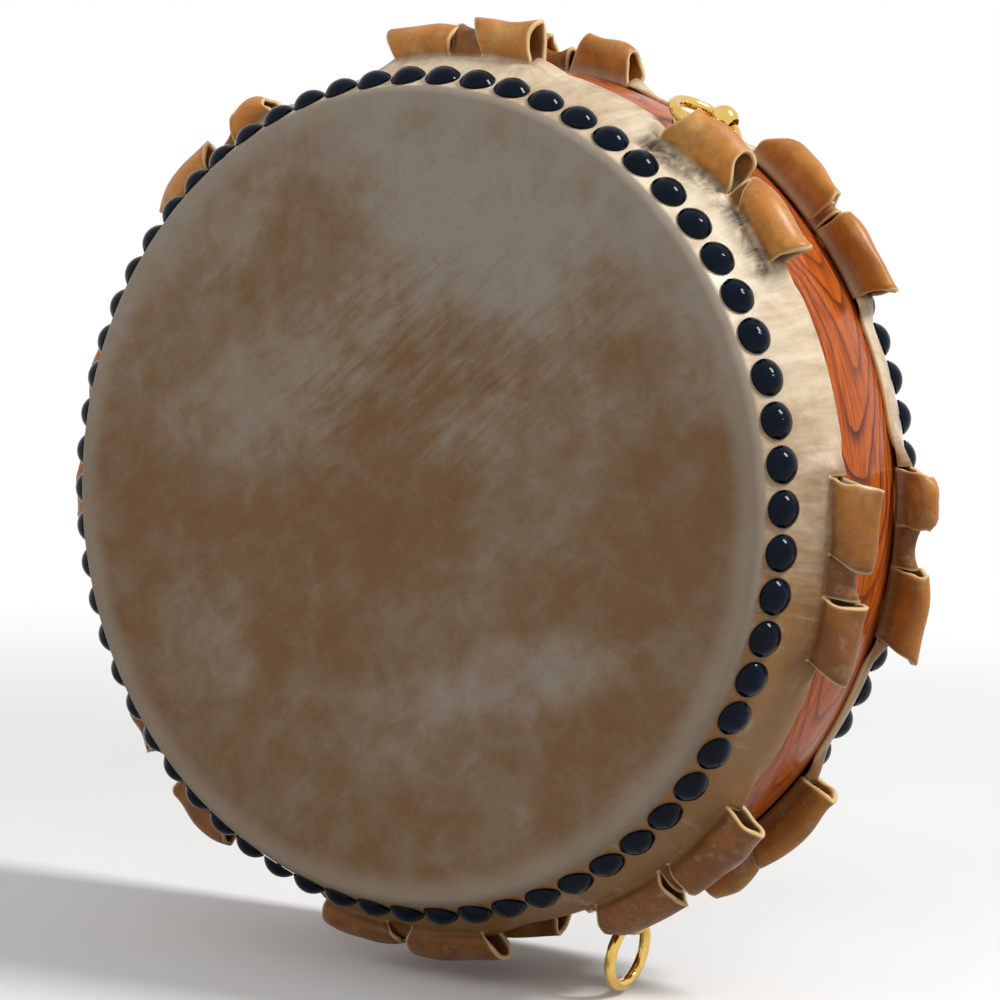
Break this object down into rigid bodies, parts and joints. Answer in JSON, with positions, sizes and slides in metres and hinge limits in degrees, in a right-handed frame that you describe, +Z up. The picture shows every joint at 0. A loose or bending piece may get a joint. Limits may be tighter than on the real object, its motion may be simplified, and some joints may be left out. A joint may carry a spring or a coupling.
{
  "type": "flat barrel drum",
  "caption": "Flat double-headed barrel drum: turned hardwood shell, tacked rawhide heads with untrimmed looped ears, and swinging ring handles.",
  "frame": {"origin": "middle of the drum: on its axis, halfway between the two playing faces", "axes": "+Y along the drum's axis towards the rear head, so the front head faces -Y; +Z up as the drum is hung or stood on edge; +X to the right seen from the front"},
  "size_m": [0.5367, 0.183, 0.5459],
  "materials": {
    "lacquered_wood": "glossy clear lacquer over orange-brown figured hardwood",
    "rawhide": "matte mottled cowhide, cream to amber at the skirt and ears",
    "black_lacquer": "glossy blue-black domed heads",
    "gold_plate": "polished gold plate",
    "zinc_steel": "plain zinc-plated steel, inside the drum"
  },
  "bodies": {
    "root": {"shell": "lacquered_wood", "front_head": "rawhide", "rear_head": "rawhide", "front_ears": "rawhide", "rear_ears": "rawhide", "front_tacks": "black_lacquer", "rear_tacks": "black_lacquer", "eye_bolt_1": "gold_plate", "escutcheon_1": "gold_plate", "washer_1": "zinc_steel", "nut_1": "zinc_steel", "eye_bolt_2": "gold_plate", "escutcheon_2": "gold_plate", "washer_2": "zinc_steel", "nut_2": "zinc_steel", "eye_bolt_3": "gold_plate", "escutcheon_3": "gold_plate", "washer_3": "zinc_steel", "nut_3": "zinc_steel"},
    "handle_1": {"ring_1": "gold_plate"},
    "handle_2": {"ring_2": "gold_plate"},
    "handle_3": {"ring_3": "gold_plate"}
  },
  "joints": [
    {"name": "ring_1_swing", "type": "hinge", "parent": "root", "child": "handle_1", "pos_m": [0.14999, 0, 0.21421], "axis": [0.8192, 0, -0.5736], "range_deg": [-196, 4]},
    {"name": "ring_2_swing", "type": "hinge", "parent": "root", "child": "handle_2", "pos_m": [-0.2605, 0, 0.02279], "axis": [0, 1, 0], "range_deg": [-5, 195]},
    {"name": "ring_3_swing", "type": "hinge", "parent": "root", "child": "handle_3", "pos_m": [0.11052, 0, -0.237], "axis": [0, 1, 0], "range_deg": [-134, 66]}
  ]
}
